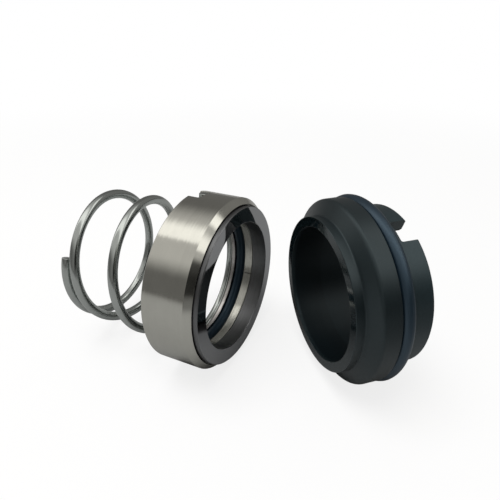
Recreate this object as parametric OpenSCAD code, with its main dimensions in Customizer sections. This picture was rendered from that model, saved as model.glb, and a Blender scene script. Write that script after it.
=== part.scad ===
// Component mechanical seal for a pump shaft: a rotary head with one conical
// spring, and the stationary seat that it runs against. The two halves stand
// side by side on their rims, faces turned towards each other like an open book.
// The origin is the middle of the thrust ring's bore, on the head's axis. +X runs
// along that axis towards the lapped face, and +Z is up.

/* [Shaft] */
// Diameter of the shaft that the seal fits
shaft_d = 38; // [34:1:44]

/* [Face ring] */
// Radial gap between the shaft and the bore of the face ring
ring_bore_gap = 1.0; // [0.6:0.1:1.6]
// Radial width of the face ring
ring_w = 4.85; // [4.2:0.05:6]
// Length of the face ring along the axis
ring_len = 5.0; // [3.6:0.1:7]
// How far the lapped face stands in front of the housing
ring_proud = 1.4; // [0.8:0.1:2.4]
// Chamfer round the outer edge of the lapped face
ring_edge = 0.25; // [0.1:0.05:0.5]

/* [Housing] */
// Wall of the housing around the face ring
front_wall = 2.1; // [1.4:0.1:3.5]
// Wall of the sleeve behind the thrust ring
rear_wall = 2.8; // [2.2:0.1:3.4]
// Axial length of the front chamfer
chamfer_len = 1.85; // [1:0.05:3]
// Radial depth of the front chamfer
chamfer_w = 1.7; // [0.8:0.05:1.8]
// Relief around the face ring at the mouth of its recess
relief_w = 0.35; // [0.15:0.05:0.4]
// Depth of that relief
relief_depth = 1.0; // [0.4:0.1:1.8]
// Radial gap between the shaft and the inner web
web_gap = 1.4; // [0.8:0.1:2]
// Thickness of the web between the face ring and the O-ring
web_len = 2.95; // [1.5:0.05:4.5]
// Length of the sleeve behind the O-ring groove
sleeve_len = 5.25; // [4.6:0.05:9]
// Width of the drive slot in the rear edge
slot_w = 7.2; // [6:0.1:10]
// Place of the drive slot, in degrees from the top
slot_turn = 8; // [-20:1:40]

/* [Shaft O-ring] */
// Thickness of the O-ring that seals on the shaft
shaft_ring_cs = 3.4; // [2.8:0.1:4.2]

/* [Thrust ring] */
// Radial gap between the shaft and the thrust ring
thrust_gap = 0.25; // [0.1:0.05:0.5]
// Thickness of the thrust ring
thrust_len = 1.25; // [0.8:0.05:1.8]

/* [Spring] */
// Wire diameter
wire_d = 3.0; // [2.2:0.1:3.2]
// Free length, from the thrust ring to the open end
spring_len = 38.9; // [30:0.1:50]
// Number of turns
spring_turns = 3.76; // [3.2:0.01:5]
// Centreline radius of the bend where the wire turns out into the slot
tang_bend = 2.2; // [2:0.1:2.4]

/* [Stationary seat] */
// Radial gap between the shaft and the bore of the seat
seat_bore_gap = 1.0; // [0.6:0.1:1.6]
// Radial width of the lapped face of the seat
seat_face_w = 3.05; // [2:0.05:3.4]
// Length of the nose that carries the lapped face
nose_len = 2.7; // [1.2:0.1:5]
// Length of the sloping shoulder behind the nose
shoulder_len = 2.4; // [1.2:0.1:4]
// Length of the cylinder behind the shoulder
collar_len = 5.45; // [3:0.05:8]
// Height of the collar above the tail
collar_step = 3.5; // [3:0.1:3.8]
// Wall of the tail
tail_wall = 4.05; // [3.6:0.05:5]
// Length of the tail behind the collar
tail_len = 11.75; // [10.5:0.05:16]
// Width of the notch that keeps the seat from turning
notch_w = 7.1; // [4:0.1:9]
// Depth of that notch
notch_depth = 5.3; // [3:0.1:5.8]
// Place of the notch, in degrees from the top
notch_turn = 22; // [0:1:60]

/* [Seat O-ring] */
// Thickness of the O-ring on the tail
seat_ring_cs = 4.0; // [3.9:0.1:4.5]

/* [Arrangement] */
// Distance of the seat's face centre in front of the head's face
seat_x = 23.6; // [22:0.05:60]
// Sideways distance between the same two centres
seat_y = 4.35; // [-10:0.01:10]
// Angle between the two axes
seat_turn = 42.8; // [20:0.05:50]

/* [Hidden] */
$fn = 160;

seat_play = 0.05;
run_play = 0.15;
guide_play = 0.3;
coil_play = 0.75;
slot_play = 0.22;
small_edge = 0.3;
slot_corner = 0.8;
notch_corner = 0.6;
cut_over = 1;

shaft_r = shaft_d / 2;
wire_r = wire_d / 2;

// Radii of the head, from the shaft outwards
ring_bore_r = shaft_r + ring_bore_gap;
ring_r = ring_bore_r + ring_w;
recess_r = ring_r + seat_play;
housing_r = recess_r + front_wall;
web_bore_r = shaft_r + web_gap;
groove_r = shaft_r + shaft_ring_cs + 2 * seat_play;
sleeve_bore_r = housing_r - rear_wall;
thrust_bore_r = shaft_r + thrust_gap;
thrust_r = sleeve_bore_r - guide_play;

// Places along the head's axis, from the lapped face backwards
front_z = -ring_proud;
shoulder_z = front_z - chamfer_len;
recess_z = -ring_len;
groove_z = recess_z - web_len;
groove_end_z = groove_z - shaft_ring_cs - seat_play;
rear_z = groove_end_z - sleeve_len;
thrust_back_z = groove_end_z - thrust_len;
face_x = thrust_len / 2 - groove_end_z;

// The spring is close to the shaft at its open end and fills the sleeve at the other
coil_r_open = shaft_r + seat_play + wire_r;
coil_r_closed = sleeve_bore_r - coil_play - wire_r;
coil_z_closed = thrust_back_z - run_play - wire_r;
coil_z_open = thrust_back_z - spring_len + wire_r;
slot_end_z = coil_z_closed + wire_r + slot_play;
tang_offset = slot_w / 2 - wire_r - run_play;
tang_top_r = housing_r - 2 * small_edge;
// Direction of the slot's middle, and the turn before it at which the wire leaves the coil
tang_dir = 180 - slot_turn;
bend_lead = asin((tang_offset + tang_bend) / (coil_r_closed + tang_bend));
bend_mid_r = (coil_r_closed + tang_bend) * cos(bend_lead);
coil_end = tang_dir - bend_lead;
coil_start = coil_end - 360 * spring_turns;
// The first turn is nearly flat and the last part of the coil is flat. Between them the wire
// climbs at full_pitch, from where the second turn still clears the wire's tip by tip_gap
end_pitch = 0.6;
flat_closed = 0.29;
ease_open = 0.1;
ease_closed = 0.7;
tip_gap = 0.5;
close_to = spring_turns - flat_closed;
close_from = close_to - ease_closed;
close_mid = (close_from + close_to) / 2;
climb = coil_z_closed - coil_z_open - end_pitch * close_mid;
tip_climb = wire_d + tip_gap - end_pitch;
open_mid = (climb - tip_climb * close_mid) / (climb - tip_climb);
open_from = open_mid - ease_open / 2;
open_to = open_mid + ease_open / 2;
full_pitch = end_pitch + climb / (close_mid - open_mid);
rings_per_turn = 44;
wire_sides = 16;
bend_rings = 8;
cut_edge = 0.3;

// Radii and lengths of the seat, its lapped face at zero
seat_bore_r = shaft_r + seat_bore_gap;
nose_r = seat_bore_r + seat_face_w;
tail_r = seat_bore_r + tail_wall;
collar_r = tail_r + collar_step;
shoulder_start_z = -nose_len;
shoulder_end_z = shoulder_start_z - shoulder_len;
collar_end_z = shoulder_end_z - collar_len;
tail_end_z = collar_end_z - tail_len;
seat_ring_r = tail_r + seat_play + seat_ring_cs / 2;
seat_ring_z = collar_end_z - seat_play - seat_ring_cs / 2;
root_fillet = 0.5;
collar_round = 1.3;
back_edge = 0.5;
seat_edge = 0.15;

// The lowest point of the seat is level with the lowest line of the housing
seat_low_r = max(collar_r, seat_ring_r + seat_ring_cs / 2);
seat_z = seat_low_r - housing_r;

// Length of travel up to t turns where the pitch grows steadily from a to b turns
function ramp(t, a, b) = t < a ? 0 : t < b ? (t - a) * (t - a) / (2 * (b - a)) : t - (a + b) / 2;

function coil_z(t) = coil_z_open + end_pitch * t + (full_pitch - end_pitch) * ramp(t, open_from, open_to)
    - full_pitch * ramp(t, close_from, close_to);
function coil_r(t) = coil_r_open + (coil_r_closed - coil_r_open) * t / spring_turns;

// Points of the wire's centreline: the coil, the bend out of it and the straight tang
function coil_point(t) =
    let (a = coil_start + 360 * t)
    [coil_r(t) * cos(a), coil_r(t) * sin(a), coil_z(t)];

// A point given by its distance along the slot's middle direction and its distance beside it
function in_slot(out, side, z) =
    [out * cos(tang_dir) + side * sin(tang_dir), out * sin(tang_dir) - side * cos(tang_dir), z];
// The bend leaves the coil smoothly and ends along the tang, tang_offset beside the middle
function bend_point(k) =
    let (a = 180 + bend_lead + (90 - bend_lead) * k / bend_rings)
    in_slot(bend_mid_r + tang_bend * cos(a), tang_offset + tang_bend * (1 + sin(a)), coil_z_closed);

coil_steps = ceil(spring_turns * rings_per_turn);
coil_points = [for (i = [0 : coil_steps - 1]) coil_point(spring_turns * i / coil_steps)];
bend_points = [for (k = [0 : bend_rings]) bend_point(k)];
tang_points = [in_slot(tang_top_r, tang_offset, coil_z_closed)];
wire_points = concat(coil_points, bend_points, tang_points);

function unit(v) = v / norm(v);
function wire_dir(p, i) =
    unit(p[min(i + 1, len(p) - 1)] - p[max(i - 1, 0)]);

// One ring of the wire's round section, standing across the centreline
function wire_ring(p, dir, r) =
    let (n = unit(cross([0, 0, 1], dir)), b = cross(dir, n), step = 360 / wire_sides)
    [for (k = [0 : wire_sides - 1]) p + r * (cos(step * k) * n + sin(step * k) * b)];

module swept_wire(p, r, edge) {
    last = len(p) - 1;
    first_dir = wire_dir(p, 0);
    last_dir = wire_dir(p, last);
    rings = concat(
        [wire_ring(p[0] - edge * first_dir, first_dir, r - edge)],
        [for (i = [0 : last]) wire_ring(p[i], wire_dir(p, i), r)],
        [wire_ring(p[last] + edge * last_dir, last_dir, r - edge)]
    );
    n = wire_sides;
    count = len(rings);
    sides = [
        for (i = [0 : count - 2])
        for (k = [0 : n - 1])
        let (a = i * n + k, b = i * n + (k + 1) % n)
        each [[a, a + n, b], [b, a + n, b + n]]
    ];
    start_cap = [[for (k = [0 : n - 1]) k]];
    end_cap = [[for (k = [n - 1 : -1 : 0]) (count - 1) * n + k]];
    polyhedron(points = [for (ring = rings) each ring], faces = concat(start_cap, sides, end_cap));
}

// Points of an arc about c, from angle a0 to a1
function arc(c, r, a0, a1, steps) =
    [for (i = [0 : steps]) let (a = a0 + (a1 - a0) * i / steps) [c[0] + r * cos(a), c[1] + r * sin(a)]];

module torus(ring_radius, section_d) {
    rotate_extrude() translate([ring_radius, 0]) circle(d = section_d);
}

// The head's axis lies along +X, with its own upward side turned to +Z
module on_head_axis() {
    translate([face_x, 0, 0]) rotate([0, 90, 0]) children();
}

module on_seat_axis() {
    translate([face_x + seat_x, seat_y, seat_z]) rotate([0, 0, seat_turn - 180]) rotate([0, 90, 0]) children();
}

// A slot open to the rear, cut through a wall of radius r, with rounded inner corners
module rear_slot(dir, w, z_from, z_to, r_in, r_out, corner) {
    rotate([0, 0, dir]) translate([r_in, 0, 0]) rotate([0, 90, 0])
        linear_extrude(r_out - r_in) {
            translate([-z_to + corner, -w / 2]) square([z_to - z_from, w]);
            translate([-z_to, -w / 2 + corner]) square([z_to - z_from, w - 2 * corner]);
            translate([-z_to + corner, -w / 2 + corner]) circle(r = corner);
            translate([-z_to + corner, w / 2 - corner]) circle(r = corner);
        }
}

module housing() {
    color([0.62, 0.61, 0.57]) on_head_axis() difference() {
        rotate_extrude() polygon([
            [recess_r + relief_w, front_z],
            [housing_r - chamfer_w, front_z],
            [housing_r, shoulder_z],
            [housing_r, rear_z + small_edge],
            [housing_r - small_edge, rear_z],
            [sleeve_bore_r + small_edge, rear_z],
            [sleeve_bore_r, rear_z + small_edge],
            [sleeve_bore_r, groove_end_z],
            [groove_r, groove_end_z],
            [groove_r, groove_z],
            [web_bore_r, groove_z],
            [web_bore_r, recess_z - small_edge],
            [web_bore_r + small_edge, recess_z],
            [recess_r, recess_z],
            [recess_r, front_z - relief_depth],
            [recess_r + relief_w, front_z - relief_depth]
        ]);
        rear_slot(tang_dir, slot_w, rear_z, slot_end_z, shaft_r, housing_r + cut_over, slot_corner);
    }
}

module face_ring() {
    color([0.43, 0.43, 0.42]) on_head_axis() rotate_extrude() polygon([
        [ring_bore_r + seat_edge, 0],
        [ring_r - ring_edge, 0],
        [ring_r, -ring_edge],
        [ring_r, -ring_len + small_edge],
        [ring_r - small_edge, -ring_len],
        [ring_bore_r + small_edge, -ring_len],
        [ring_bore_r, -ring_len + small_edge],
        [ring_bore_r, -seat_edge]
    ]);
}

module shaft_o_ring() {
    color([0.07, 0.1, 0.14]) on_head_axis()
        translate([0, 0, groove_z - (shaft_ring_cs + seat_play) / 2])
            torus(shaft_r + shaft_ring_cs / 2, shaft_ring_cs);
}

module thrust_ring() {
    color([0.66, 0.65, 0.62]) on_head_axis() rotate_extrude() polygon([
        [thrust_bore_r, groove_end_z - seat_edge],
        [thrust_bore_r + seat_edge, groove_end_z],
        [thrust_r - seat_edge, groove_end_z],
        [thrust_r, groove_end_z - seat_edge],
        [thrust_r, thrust_back_z + seat_edge],
        [thrust_r - seat_edge, thrust_back_z],
        [thrust_bore_r + seat_edge, thrust_back_z],
        [thrust_bore_r, thrust_back_z + seat_edge]
    ]);
}

module spring() {
    color([0.55, 0.55, 0.54]) on_head_axis() swept_wire(wire_points, wire_r, cut_edge);
}

module stationary_seat() {
    slope = atan2(collar_r - nose_r, shoulder_len);
    color([0.17, 0.19, 0.19]) on_seat_axis() difference() {
        rotate_extrude() polygon(concat(
            [
                [seat_bore_r + seat_edge, 0],
                [nose_r - seat_edge, 0],
                [nose_r, -seat_edge]
            ],
            arc([nose_r + root_fillet, shoulder_start_z + root_fillet * tan(slope / 2)],
                root_fillet, 180, 180 + slope, 5),
            arc([collar_r - collar_round, shoulder_end_z - collar_round * tan(slope / 2)],
                collar_round, slope, 0, 6),
            [
                [collar_r, collar_end_z + small_edge],
                [collar_r - small_edge, collar_end_z],
                [tail_r, collar_end_z],
                [tail_r, tail_end_z + back_edge],
                [tail_r - back_edge, tail_end_z],
                [seat_bore_r + back_edge, tail_end_z],
                [seat_bore_r, tail_end_z + back_edge],
                [seat_bore_r, -seat_edge]
            ]
        ));
        rear_slot(180 - notch_turn, notch_w, tail_end_z, tail_end_z + notch_depth, shaft_r,
            tail_r + cut_over, notch_corner);
    }
}

module seat_o_ring() {
    color([0.06, 0.1, 0.13]) on_seat_axis() translate([0, 0, seat_ring_z]) torus(seat_ring_r, seat_ring_cs);
}

housing();
face_ring();
shaft_o_ring();
thrust_ring();
spring();
stationary_seat();
seat_o_ring();
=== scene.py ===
import math

import bpy
import numpy as np
from mathutils import Matrix, Vector


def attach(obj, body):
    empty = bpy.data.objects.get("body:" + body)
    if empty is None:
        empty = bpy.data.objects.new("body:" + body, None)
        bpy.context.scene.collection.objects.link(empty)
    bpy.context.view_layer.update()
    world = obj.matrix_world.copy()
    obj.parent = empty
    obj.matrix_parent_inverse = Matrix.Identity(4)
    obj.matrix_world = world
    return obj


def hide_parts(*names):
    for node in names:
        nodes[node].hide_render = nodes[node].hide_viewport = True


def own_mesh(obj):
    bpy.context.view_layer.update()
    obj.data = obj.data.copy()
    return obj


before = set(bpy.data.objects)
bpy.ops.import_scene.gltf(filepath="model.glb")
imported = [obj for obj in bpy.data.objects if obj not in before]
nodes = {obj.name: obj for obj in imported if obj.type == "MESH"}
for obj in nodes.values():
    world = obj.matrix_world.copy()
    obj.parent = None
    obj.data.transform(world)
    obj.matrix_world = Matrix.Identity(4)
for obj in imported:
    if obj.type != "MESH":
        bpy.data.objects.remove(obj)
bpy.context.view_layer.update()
print("stage: frame loaded,", len(nodes), "nodes")

# Lengths are in millimetres until they reach a mesh. The head's axis is X, and its places are
# distances from the frame's origin. The seat's places are distances behind its lapped face.
mm = 0.001
headAxis = (1.0, 0.0, 0.0)
head = {
    "face": 12.025,
    "front": 10.625,
    "shoulder": 8.775,
    "webBack": 4.075,
    "radius": 27.0,
    "recessRadius": 24.9,
    "mouthRadius": 25.25,
    "webBore": 20.4,
    "slotTurn": 8.0,
}
seat = {
    "face": (35.625, 4.35, 1.1),
    "turn": 42.8,
    "bore": 20.0,
    "collarEnd": 10.55,
}
seatBack = (math.cos(math.radians(seat["turn"])), math.sin(math.radians(seat["turn"])), 0.0)


class Val:
    # A number inside a material: arithmetic on it adds Math nodes.
    def __init__(self, shader, socket):
        self.shader = shader
        self.socket = socket

    def op(self, name, *others):
        return self.shader.node("ShaderNodeMath", [self, *others], operation=name)

    def __add__(self, other):
        return self.op("ADD", other)

    def __radd__(self, other):
        return self.op("ADD", other)

    def __sub__(self, other):
        return self.op("SUBTRACT", other)

    def __rsub__(self, other):
        return self.shader.node("ShaderNodeMath", [other, self], operation="SUBTRACT")

    def __mul__(self, other):
        return self.op("MULTIPLY", other)

    def __rmul__(self, other):
        return self.op("MULTIPLY", other)

    def __truediv__(self, other):
        return self.op("DIVIDE", other)

    def __pow__(self, other):
        return self.op("POWER", other)

    def step(self, low, high):
        # 0 below low, 1 above high and smooth between them
        return self.shader.node(
            "ShaderNodeMapRange", [self, low, high, 0.0, 1.0], interpolation_type="SMOOTHSTEP"
        )

    def hill(self, start, full, fall, end):
        # rises from start to full and goes back from fall to end
        return self.step(start, full) * (1.0 - self.step(fall, end))

    def band(self, low, high, soft):
        # 1 between low and high, with soft borders
        return self.hill(low - soft, low + soft, high - soft, high + soft)

    def swing(self, amount):
        # a noise moved to swing about 0, and made that strong
        return (self - 0.5) * amount


class Finish:
    # One material or world, built node by node.
    def __init__(self, name, holder=None):
        self.material = holder or bpy.data.materials.new(name)
        self.material.use_nodes = True
        self.tree = self.material.node_tree
        self.tree.nodes.clear()

    def node(self, kind, inputs=(), out=0, **settings):
        made = self.tree.nodes.new(kind)
        for key, value in settings.items():
            setattr(made, key, value)
        pairs = inputs.items() if isinstance(inputs, dict) else enumerate(inputs)
        for key, value in pairs:
            if isinstance(value, Val):
                self.tree.links.new(value.socket, made.inputs[key])
            elif value is not None:
                made.inputs[key].default_value = value
        return Val(self, made.outputs[out]) if made.outputs else None

    def place(self):
        return self.node("ShaderNodeTexCoord", out="Object")

    def part(self, vector, letter):
        return self.node("ShaderNodeSeparateXYZ", [vector], out=letter)

    def vec(self, name, a, b=None, out=0):
        return self.node("ShaderNodeVectorMath", [a, b], out=out, operation=name)

    def scaled(self, vector, amount):
        inputs = {"Vector": vector, "Scale": amount}
        return self.node("ShaderNodeVectorMath", inputs, operation="SCALE")

    def join(self, x, y, z):
        return self.node("ShaderNodeCombineXYZ", [x, y, z])

    def rgb(self, r, g, b):
        return self.node("ShaderNodeCombineColor", [r, g, b])

    def ray(self, kind):
        # 1 for light paths of that kind
        return self.node("ShaderNodeLightPath", out="Is " + kind + " Ray")

    def noise(self, at, scale=1.0, detail=3.0, rough=0.5):
        inputs = {"Vector": at, "Scale": scale, "Detail": detail, "Roughness": rough}
        return self.node("ShaderNodeTexNoise", inputs)

    def axial(self, origin, axis):
        # distance along the axis and from it, in mm, and the angle from the top round it
        side = np.cross((0, 0, 1), axis)
        rel = self.vec("SUBTRACT", self.place(), [c * mm for c in origin])
        along = self.vec("DOT_PRODUCT", rel, list(axis), out="Value") / mm
        across = self.vec("DOT_PRODUCT", rel, list(side), out="Value") / mm
        up = self.vec("DOT_PRODUCT", rel, (0, 0, 1), out="Value") / mm
        radius = (across * across + up * up) ** 0.5
        return along, radius, across.op("ARCTAN2", up)

    def edges(self, radius):
        # the normal of an edge broken to that radius
        return self.node("ShaderNodeBevel", {"Radius": radius * mm}, samples=6)

    def lean(self, normal, axis, slope):
        # N' = N + axis * slope, made one long again
        return self.vec("NORMALIZE", self.vec("ADD", normal, self.scaled(self.join(*axis), slope)))

    def bump(self, height, distance, strength, normal=None):
        inputs = {"Height": height, "Distance": distance * mm, "Strength": strength, "Normal": normal}
        return self.node("ShaderNodeBump", inputs)

    def shader(self, **inputs):
        named = {key.replace("_", " "): value for key, value in inputs.items()}
        return self.node("ShaderNodeBsdfPrincipled", named)

    def finish(self, shown):
        self.node("ShaderNodeOutputMaterial", [shown])
        return self.material

    def surface(self, **inputs):
        return self.finish(self.shader(**inputs))


def turningMarks(s, along, angle, pitch, slope):
    # Slopes of turned grooves: fast noise along the axis that hardly changes round it, and
    # half as much of a noise five times as broad
    fine = s.noise(s.join(along * pitch, angle * 0.9, 0.0), detail=2.0, rough=0.6)
    broad = s.noise(s.join(along * (pitch * 0.21), angle * 0.5, 7.0), detail=2.0)
    return fine.swing(slope) + broad.swing(slope * 0.5)


housingFinish = {
    "colour": (0.606, 0.608, 0.556),
    "rough": 0.12,
    "chamferRough": 0.115,
    "boreRough": 0.06,
    "streaks": 0.10,
    "clouds": 0.10,
    "rubs": 0.12,
    "hairs": 0.07,
    "boreDark": 0.14,
    "gapShade": 0.85,
    "nickDark": 0.75,
    "nickTurn": (1.945, 1.962),  # radians from the top
    "turningPitch": 11.0,
    "turningSlope": 0.30,
    "edge": 0.16,
}


def turnedSteel(p):
    s = Finish("turnedSteel")
    along, radius, angle = s.axial((0, 0, 0), headAxis)
    shoulder, front, mouth = head["shoulder"], head["front"], head["mouthRadius"]
    chamfer = along.step(shoulder - 0.05, shoulder + 0.1) * radius.step(mouth - 0.15, mouth + 0.15)
    inside = 1.0 - radius.step(mouth - 0.25, mouth - 0.05)
    # painted shade: the tone is darkened in the thin relief groove between the housing's recess and the
    # face ring
    gap = radius.band(head["recessRadius"] + 0.05, mouth + 0.1, 0.06)
    gap = gap * (1.0 - along.step(front - 0.175, front - 0.025))
    # A small dark mark in the bore of the web
    back, bore = head["webBack"], head["webBore"]
    nick = angle.band(*p["nickTurn"], 0.006) * along.step(back + 0.125, back + 0.425)
    nick = nick * (1.0 - radius.step(bore + 0.3, bore + 0.5))

    streak = s.noise(s.join(along * 3.4, angle * 0.8, radius * 0.5), detail=5.0, rough=0.7)
    cloud = s.noise(s.place(), scale=95.0, detail=4.0, rough=0.6)
    handled = s.noise(s.place(), scale=240.0, rough=0.55)
    rub = s.noise(s.join(along * 0.35, angle * 6.0, radius * 0.4), detail=4.0, rough=0.62)
    hair = s.noise(s.join(along * 0.9 + angle * 3.0, angle * 60.0, radius), rough=0.6).step(0.66, 0.74)

    tone = 1.0 + streak.swing(p["streaks"]) + cloud.swing(p["clouds"]) + rub.swing(p["rubs"])
    # the gap term darkens the tone as painted shade in the relief groove
    tone = (tone - hair * p["hairs"]) * (1.0 - gap * p["gapShade"]) * (1.0 - nick * p["nickDark"])
    tone = tone * (1.0 - inside * p["boreDark"])
    base = s.rgb(*[tone * c for c in p["colour"]])
    rough = p["rough"] - chamfer * (p["rough"] - p["chamferRough"]) + inside * p["boreRough"]
    rough = rough + handled.swing(0.06) + streak.swing(0.03) + rub.swing(0.08)
    slope = turningMarks(s, along, angle, p["turningPitch"], p["turningSlope"]) * (1.0 - chamfer * 0.8)
    normal = s.lean(s.edges(p["edge"]), headAxis, slope)
    return s.surface(Base_Color=base, Metallic=1.0, Roughness=rough, Normal=normal)


thrustFinish = {"tone": 0.58, "streaks": 0.16, "tint": (1.0, 0.97, 0.94), "rough": 0.2, "rearShade": 0.7}


def thrustSteel(p):
    s = Finish("thrustSteel")
    along, radius, angle = s.axial((0, 0, 0), headAxis)
    streak = s.noise(s.join(radius * 2.5, angle * 0.6, along), detail=4.0, rough=0.7)
    # painted shade: the rearmost part of the ring, toward the spring, is darkened in its tone
    rear = 1.0 - along.step(-0.6, -0.3)
    tone = (p["tone"] + streak.swing(p["streaks"])) * (1.0 - rear * p["rearShade"])
    base = s.rgb(*[tone * c for c in p["tint"]])
    rough = p["rough"] + streak * 0.15
    return s.surface(Base_Color=base, Metallic=1.0, Roughness=rough, Normal=s.edges(0.1))


ringFinish = {
    "lapped": 0.385,
    "ground": 0.19,
    "tint": (0.97, 1.0, 1.03),
    "streaks": 0.12,
    "rough": 0.34,
    "mirror": 0.03,
    "edge": 0.08,
    "lean": (-0.026, 0.066),
    "hollow": -0.0016,
}


def ringCarbide(p):
    s = Finish("ringCarbide")
    along, radius, angle = s.axial((0, 0, 0), headAxis)
    lapped = along.step(head["face"] - 0.05, head["face"] - 0.01)
    cloud = s.noise(s.place(), scale=110.0, detail=4.0, rough=0.6)
    grain = s.noise(s.place(), scale=1500.0, detail=2.0)
    ground = s.noise(s.join(along * 4.0, angle * 1.2, radius), detail=4.0, rough=0.7)
    tone = p["ground"] + lapped * (p["lapped"] - p["ground"])
    tone = tone + cloud.swing(0.02) + grain.swing(0.012) + ground.swing(p["streaks"]) * (1.0 - lapped)
    base = s.rgb(*[tone * c for c in p["tint"]])
    rough = p["rough"] - lapped * (p["rough"] - p["mirror"]) + cloud.swing(0.02)
    # In its shading alone the mirror face leans and is hollow, as the photographed reflection
    # asks: slope across the face = lean + hollow * distance from the axis in mm
    y = s.part(s.place(), "Y") / mm
    z = s.part(s.place(), "Z") / mm
    bend = (0.0, y * p["hollow"] + p["lean"][0], z * p["hollow"] + p["lean"][1])
    normal = s.lean(s.edges(p["edge"]), bend, lapped)
    return s.surface(Base_Color=base, Metallic=1.0, Roughness=rough, Normal=normal)


seatFinish = {
    "tone": 0.0075,
    "tint": (0.6, 1.1, 1.3),
    "shineTint": (0.82, 1.0, 1.06, 1.0),
    "index": 1.60,
    "tailPaler": 1.2,
    "rough": 0.37,
    "mirror": 0.06,
    "turningPitch": 9.0,
    "turningSlope": 0.16,
    "edge": 0.14,
    # the dark, dull coat below stands for painted shade inside the bore
    "paintedBoreShade": (0.0015, 0.003, 0.004, 1.0),
    "paintedBoreShadeCover": 0.7,
}


def seatCarbide(p):
    s = Finish("seatCarbide")
    along, radius, angle = s.axial(seat["face"], seatBack)
    lapped = 1.0 - along.step(0.02, 0.06)
    tail = along.step(seat["collarEnd"] - 0.15, seat["collarEnd"] + 0.25)
    bore = (1.0 - radius.step(seat["bore"] + 0.2, seat["bore"] + 0.6)) * along.step(0.6, 1.6)
    cloud = s.noise(s.place(), scale=80.0, detail=5.0, rough=0.6)
    grain = s.noise(s.place(), scale=1800.0, detail=2.0, rough=0.6)
    ground = s.noise(s.join(along * 5.0, angle * 1.4, radius * 2.0), detail=4.0, rough=0.7)
    tone = p["tone"] * (1.0 + cloud.swing(0.7) + grain.swing(0.6) + ground.swing(0.4))
    tone = tone * (1.0 + tail * p["tailPaler"])
    base = s.rgb(*[tone * c for c in p["tint"]])
    rough = p["rough"] - lapped * (p["rough"] - p["mirror"])
    rough = rough + cloud.swing(0.08) * (1.0 - lapped)
    slope = turningMarks(s, along, angle, p["turningPitch"], p["turningSlope"]) * (1.0 - lapped)
    grained = s.bump(grain, distance=0.01, strength=0.5, normal=s.edges(p["edge"]))
    shell = s.shader(
        Base_Color=base,
        Roughness=rough,
        IOR=p["index"],
        Specular_Tint=p["shineTint"],
        Normal=s.lean(grained, seatBack, slope),
    )
    # painted shade: a near-black, barely shiny coat is mixed over the bore's wall in place of the shade
    # deep in the bore
    paintedBoreShade = s.shader(Base_Color=p["paintedBoreShade"], Roughness=0.5, Specular_IOR_Level=0.1)
    return s.finish(s.node("ShaderNodeMixShader", [bore * p["paintedBoreShadeCover"], shell, paintedBoreShade]))


rubberFinish = {"tint": (0.45, 1.1, 1.8), "shineTint": (0.72, 1.0, 1.25, 1.0), "rough": 0.36}


def rubber(name, level, shine, p):
    s = Finish(name)
    cloud = s.noise(s.place(), scale=120.0, detail=4.0, rough=0.6)
    grain = s.noise(s.place(), scale=3500.0, detail=2.0)
    tone = level * (1.0 + cloud.swing(0.5))
    return s.surface(
        Base_Color=s.rgb(*[tone * c for c in p["tint"]]),
        Roughness=p["rough"] + cloud.swing(0.12),
        Specular_IOR_Level=shine,
        Specular_Tint=p["shineTint"],
        Normal=s.bump(grain, distance=0.03, strength=0.4),
    )


wireFinish = {"tone": 0.53, "tint": (0.94, 1.0, 0.97), "streaks": 0.16, "clouds": 0.1, "rough": 0.16}


def wireSteel(p):
    # The map holds the length along the wire in mm, and the share of a turn round it.
    s = Finish("wireSteel")
    uv = s.node("ShaderNodeUVMap", uv_map="wire")
    length = s.part(uv, "X")
    around = s.part(uv, "Y")
    drawn = s.noise(s.join(length * 0.05, around * 40.0, 0.0), detail=4.0, rough=0.65)
    cloud = s.noise(s.join(length * 0.2, around * 3.0, 2.0))
    tone = p["tone"] + drawn.swing(p["streaks"]) + cloud.swing(p["clouds"])
    base = s.rgb(*[tone * c for c in p["tint"]])
    rough = p["rough"] + cloud.swing(0.1)
    normal = s.bump(drawn, distance=0.005, strength=0.3)
    return s.surface(Base_Color=base, Metallic=1.0, Roughness=rough, Normal=normal)


def give(name, material):
    mesh = nodes[name].data
    mesh.materials.clear()
    mesh.materials.append(material)


give("housing", turnedSteel(housingFinish))
give("thrust_ring", thrustSteel(thrustFinish))
give("face_ring", ringCarbide(ringFinish))
give("stationary_seat", seatCarbide(seatFinish))
print("stage: materials")


def skin(name, points, caps=False):
    # A skin over points[i][j], rows along the length and columns round the section.
    # Without caps the rows close on themselves as well.
    rows, cols = points.shape[:2]
    i, j = np.meshgrid(np.arange(rows - 1 if caps else rows), np.arange(cols), indexing="ij")
    k, n = (j + 1) % cols, (i + 1) % rows
    quads = np.stack([i * cols + j, i * cols + k, n * cols + k, n * cols + j], -1).reshape(-1, 4)
    ends = [list(range(cols))[::-1], list(range((rows - 1) * cols, rows * cols))] if caps else []
    mesh = bpy.data.meshes.new(name)
    mesh.from_pydata((points.reshape(-1, 3) * mm).tolist(), [], quads.tolist() + ends)
    mesh.shade_smooth()
    made = bpy.data.objects.new(name, mesh)
    bpy.context.scene.collection.objects.link(made)
    return made


shaftRing = {
    "name": "shaftORing",
    "node": "shaft_o_ring",
    "body": "head",
    "middle": (2.375, 0.0, 0.0),
    "axis": headAxis,
    "ringRadius": 20.7,
    "section": 1.7,
    "flash": 0.03,
    "level": 0.011,
    "shine": 0.4,
}
seatRing = {
    "name": "tailORing",
    "node": "seat_o_ring",
    "body": "seat_side",
    "middle": tuple(f + (seat["collarEnd"] + 2.05) * a for f, a in zip(seat["face"], seatBack)),
    "axis": seatBack,
    "ringRadius": 26.1,
    "section": 2.0,
    "flash": 0.04,
    "level": 0.010,
    "shine": 0.95,
}
mould = {"roundSteps": 240, "sectionSteps": 72, "flashSpread": 0.045}


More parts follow.
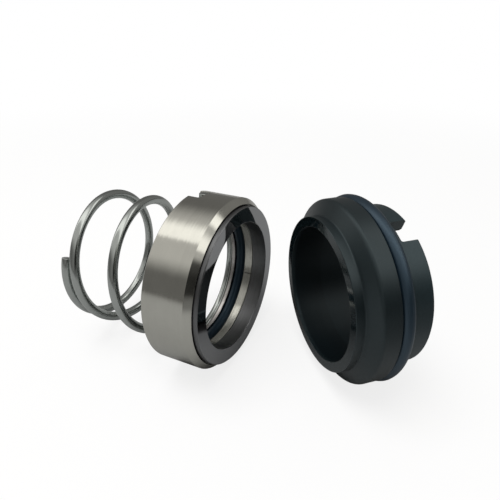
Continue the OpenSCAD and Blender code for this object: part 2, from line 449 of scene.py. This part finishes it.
def oRing(p):
    # Torus: centre + up and side * (ringRadius + r cos v) + axis * r sin v, where r is the
    # section plus a thin moulding line at its innermost and outermost points.
    axis = np.array(p["axis"])
    up = np.array([0.0, 0.0, 1.0])
    side = np.cross(axis, up)
    u = np.linspace(0, 2 * math.pi, mould["roundSteps"], endpoint=False)[:, None, None]
    v = np.linspace(0, 2 * math.pi, mould["sectionSteps"], endpoint=False)[None, :, None]
    line = np.exp(-((np.sin(v) / mould["flashSpread"]) ** 2)) * p["flash"]
    r = p["section"] - p["flash"] + line
    out = up * np.cos(u) + side * np.sin(u)
    points = np.array(p["middle"]) + out * (p["ringRadius"] + r * np.cos(v)) + axis * r * np.sin(v)
    made = skin(p["name"], points)
    made.data.materials.append(rubber(made.name + "Rubber", p["level"], p["shine"], rubberFinish))
    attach(made, p["body"])
    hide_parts(p["node"])


oRing(shaftRing)
oRing(seatRing)
print("stage: O-rings")

spring = {
    "wireRadius": 1.5,
    "openRadius": 20.55,
    "closedRadius": 21.95,
    "turns": 3.76,
    "openX": -38.025,
    "closedX": -2.275,
    "endPitch": 0.6,
    "tipGap": 0.5,
    "ease": (0.1, 0.7),
    "flatClosed": 0.29,
    "bendRadius": 2.2,
    "tangSide": 1.95,
    "tangTop": 26.7,
    "tipRound": 0.22,
    "perTurn": 110,
    "bendSteps": 26,
    "tangSteps": 8,
    "tipSteps": 5,
    "sides": 28,
    "keep": 0.7315,
}


def ramp(t, middle, width):
    # 0 before the middle, t - middle after it, with a parabola over the width between them
    a, b = middle - width / 2, middle + width / 2
    return np.where(t < a, 0, np.where(t < b, (t - a) ** 2 / (2 * width), t - middle))


def springPath(p):
    # Coil: radius grows evenly with t, x(t) = openX + endPitch t + (pitch - endPitch) *
    # ramp(t, rise) - pitch * ramp(t, fall), then the bend and the tang that lies in the slot.
    # Angles are measured in the head's own plane: local x is -Z and local y is +Y.
    tang = math.radians(180 - head["slotTurn"])
    bend, side = p["bendRadius"], p["tangSide"]
    lead = math.asin((side + bend) / (p["closedRadius"] + bend))
    middle = (p["closedRadius"] + bend) * math.cos(lead)
    fall = p["turns"] - p["flatClosed"] - p["ease"][1] / 2
    climb = p["closedX"] - p["openX"] - p["endPitch"] * fall
    tip = 2 * p["wireRadius"] + p["tipGap"] - p["endPitch"]
    rise = (climb - tip * fall) / (climb - tip)
    pitch = p["endPitch"] + climb / (fall - rise)
    t = np.linspace(0, p["turns"], int(p["turns"] * p["perTurn"]))[:-1]
    a = tang - lead + 2 * math.pi * (t - p["turns"])
    r = p["openRadius"] + (p["closedRadius"] - p["openRadius"]) * t / p["turns"]
    x = p["openX"] + p["endPitch"] * t + (pitch - p["endPitch"]) * ramp(t, rise, p["ease"][0])
    x = x - pitch * ramp(t, fall, p["ease"][1])
    coil = np.stack([x, r * np.sin(a), -r * np.cos(a)], -1)
    b = np.linspace(math.pi + lead, 1.5 * math.pi, p["bendSteps"])
    straight = np.linspace(middle, p["tangTop"] - p["tipRound"], p["tangSteps"] + 1)[1:]
    out = np.concatenate([middle + bend * np.cos(b), straight])
    beside = np.concatenate([side + bend * (1 + np.sin(b)), np.full(p["tangSteps"], side)])
    localX = out * math.cos(tang) + beside * math.sin(tang)
    localY = out * math.sin(tang) - beside * math.cos(tang)
    return np.concatenate([coil, np.stack([np.full(len(localX), p["closedX"]), localY, -localX], -1)])


def springWire(p):
    # Rings of the round wire stand across its centreline; both cut ends have a small round.
    path = springPath(p)
    along = np.gradient(path, axis=0)
    along /= np.linalg.norm(along, axis=1)[:, None]
    first = np.cross(along, headAxis)
    first /= np.linalg.norm(first, axis=1)[:, None]
    second = np.cross(along, first)
    turn = np.linspace(0, 2 * math.pi, p["sides"], endpoint=False)[None, :, None]
    ring = first[:, None] * np.cos(turn) + second[:, None] * np.sin(turn)
    s = np.linspace(0, math.pi / 2, p["tipSteps"] + 1)[1:, None, None]
    push, size = p["tipRound"] * np.sin(s), p["wireRadius"] - p["tipRound"] * (1 - np.cos(s))
    start = (path[0] - along[0] * push + ring[0] * size)[::-1]
    end = path[-1] + along[-1] * push + ring[-1] * size
    points = np.concatenate([start, path[:, None] + ring * p["wireRadius"], end])
    made = skin("springWire", points, caps=True)
    mesh = made.data
    gap = np.linalg.norm(np.diff(path, axis=0), axis=1)
    before, after = np.zeros(p["tipSteps"] + 1), np.full(p["tipSteps"], gap.sum())
    lengths = np.concatenate([before, np.cumsum(gap), after])
    index = np.zeros(len(mesh.loops), np.int32)
    mesh.loops.foreach_get("vertex_index", index)
    uv = np.stack([lengths[index // p["sides"]], (index % p["sides"]) / p["sides"]], -1)
    mesh.uv_layers.new(name="wire").data.foreach_set("uv", uv.astype(np.float32).ravel())
    mesh.materials.append(wireSteel(wireFinish))
    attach(made, "seat_side")
    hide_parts("spring")
    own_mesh(made)


springWire(spring)
print("stage: spring")

# The photograph's camera: its place in mm, and its right and backward directions
view = {
    "at": (65.913, -103.808, 76.702),
    "right": (0.90198, 0.43174, -0.0060),
    "back": (0.38116, -0.78962, 0.48086),
    "lens": 32.467,
    "sensor": 36.0,
    "clip": (0.005, 20.0),
}


def takePicture(p):
    scene = bpy.context.scene
    scene.view_settings.view_transform = "Standard"
    camera = bpy.data.objects.new("camera", bpy.data.cameras.new("camera"))
    camera.data.lens = p["lens"]
    camera.data.sensor_width = p["sensor"]
    camera.data.clip_start, camera.data.clip_end = p["clip"]
    back = np.array(p["back"]) / np.linalg.norm(p["back"])
    right = np.array(p["right"]) - back * (np.array(p["right"]) @ back)
    right /= np.linalg.norm(right)
    turned = np.stack([right, np.cross(back, right), back, np.array(p["at"]) * mm], -1)
    camera.matrix_world = Matrix(turned.tolist() + [[0, 0, 0, 1]])
    scene.collection.objects.link(camera)
    scene.camera = camera


# From here on lengths are in metres.
paper = {
    "halfWidth": 6.0,
    "tone": 0.62,
    "seenTone": 0.95,
    "seenGlow": 0.8,
    "farGlow": (0.16, 0.5),
    "mirrorDark": 0.36,
    "contactReach": 0.045,
    "contactPower": 0.6,
    "seatSideShade": 0.5,
    "rightFrom": (0.07, 0.14),
}


def layFloor(p):
    # A wide pale sheet under the rims. The camera sees it white, with the shadow left in it.
    # Metal sees it dimmer, with painted shadow near what stands on it and painted shade on the seat's
    # side most of all.
    size, z = p["halfWidth"], -head["radius"] * mm
    mesh = bpy.data.meshes.new("floor")
    corners = [(-size, -size, z), (size, -size, z), (size, size, z), (-size, size, z)]
    mesh.from_pydata(corners, [], [(0, 1, 2, 3)])
    floor = bpy.data.objects.new("floor", mesh)
    bpy.context.scene.collection.objects.link(floor)

    s = Finish("floorPaper")
    seen = s.ray("Camera") + s.ray("Transmission")
    reach = {"Distance": p["contactReach"]}
    # painted shadow for glossy rays: ambient occlusion darkens the floor near what stands on it, and
    # beyond an X of 0.07 m it is darkened further
    openness = s.node("ShaderNodeAmbientOcclusion", reach, out="AO", samples=8) ** p["contactPower"]
    right = s.part(s.place(), "X").step(*p["rightFrom"]) * p["seatSideShade"]
    dimmingAndPaintedShade = 1.0 - (1.0 - p["mirrorDark"]) * openness * (1.0 - right)
    sheet = s.node("ShaderNodeBsdfDiffuse", [(p["tone"],) * 3 + (1.0,)])
    black = s.node("ShaderNodeEmission", {"Color": (0.0, 0.0, 0.0, 1.0), "Strength": 0.0})
    sheet = s.node("ShaderNodeMixShader", [s.ray("Glossy") * dimmingAndPaintedShade, sheet, black])
    white = s.node("ShaderNodeBsdfDiffuse", [(p["seenTone"],) * 3 + (1.0,)])
    glow = s.node("ShaderNodeEmission", {"Color": (1.0, 1.0, 1.0, 1.0), "Strength": 1.0})
    far = s.vec("LENGTH", s.place(), out="Value").step(*p["farGlow"])
    share = p["seenGlow"] + far * (1.0 - p["seenGlow"])
    white = s.node("ShaderNodeMixShader", [share, white, glow])
    mesh.materials.append(s.finish(s.node("ShaderNodeMixShader", [seen, sheet, white])))


# A roll is in degrees from straight up, positive away from the camera. X is a direction's own x.
room = {
    "colour": (1.0, 0.972, 0.938, 1.0),
    "fill": 0.45,
    "wall": 0.16,
    "wallRise": (-0.4, 0.3),
    "overhead": 0.62,
    "overheadRoll": (-66.0, -40.0, 10.0, 48.0),
    "strip": 0.8,
    "stripRoll": (-18.0, -13.0, 0.0, 16.0),
    "window": 1.1,
    "windowRoll": (24.0, 40.0, 4.0),
    "windowX": (0.05, 0.4),
    "doorwayDark": 0.88,
    "doorwayRoll": (-38.0, -24.0),
    "doorwayX": (0.58, 0.78),
    "sideDark": 0.8,
    "sideX": (0.8, 0.92),
    "lampSize": (0.6, 0.35),
    "lampPower": 4.4,
    "lampAt": (-0.1, -0.16, 0.75),
}


def hangLights(p):
    # World: white where the camera looks. Metal sees a wide soft light overhead, a bright strip
    # and a window in a dim room with a dark doorway. Everything else gets an even fill.
    scene = bpy.context.scene
    scene.world = bpy.data.worlds.new("studio")
    w = Finish("studio", scene.world)
    way = w.node("ShaderNodeTexCoord", out="Generated")
    x = w.part(way, "X")
    roll = w.part(way, "Y").op("ARCTAN2", w.part(way, "Z")) * (180 / math.pi)
    wall = p["wall"] * (1.0 + x.step(*p["wallRise"]) * 0.4)
    mirrored = wall + roll.hill(*p["overheadRoll"]) * (p["overhead"] - wall)
    mirrored = mirrored + roll.hill(*p["stripRoll"]) * p["strip"]
    mirrored = mirrored + roll.band(*p["windowRoll"]) * x.step(*p["windowX"]) * p["window"]
    doorway = x.step(*p["doorwayX"]) * (1.0 - roll.step(*p["doorwayRoll"]))
    mirrored = mirrored * (1.0 - doorway * p["doorwayDark"])
    mirrored = mirrored * (1.0 - x.step(*p["sideX"]) * p["sideDark"])
    seen = w.ray("Camera") + w.ray("Transmission")
    glossy = w.ray("Glossy")
    level = seen + glossy * mirrored + (1.0 - seen - glossy) * p["fill"]
    lit = w.node("ShaderNodeBackground", {"Strength": level, "Color": p["colour"]})
    white = w.node("ShaderNodeBackground", {"Strength": 1.0, "Color": (1.0, 1.0, 1.0, 1.0)})
    w.node("ShaderNodeOutputWorld", [w.node("ShaderNodeMixShader", [seen, lit, white])])

    lamp = bpy.data.lights.new("overhead", "AREA")
    lamp.shape = "RECTANGLE"
    lamp.size, lamp.size_y = p["lampSize"]
    lamp.energy = p["lampPower"]
    made = bpy.data.objects.new("overhead", lamp)
    made.location = p["lampAt"]
    made.rotation_mode = "QUATERNION"
    made.rotation_quaternion = Vector(made.location).to_track_quat("Z", "Y")
    made.visible_glossy = False
    scene.collection.objects.link(made)


takePicture(view)
layFloor(paper)
hangLights(room)
print("stage: studio")
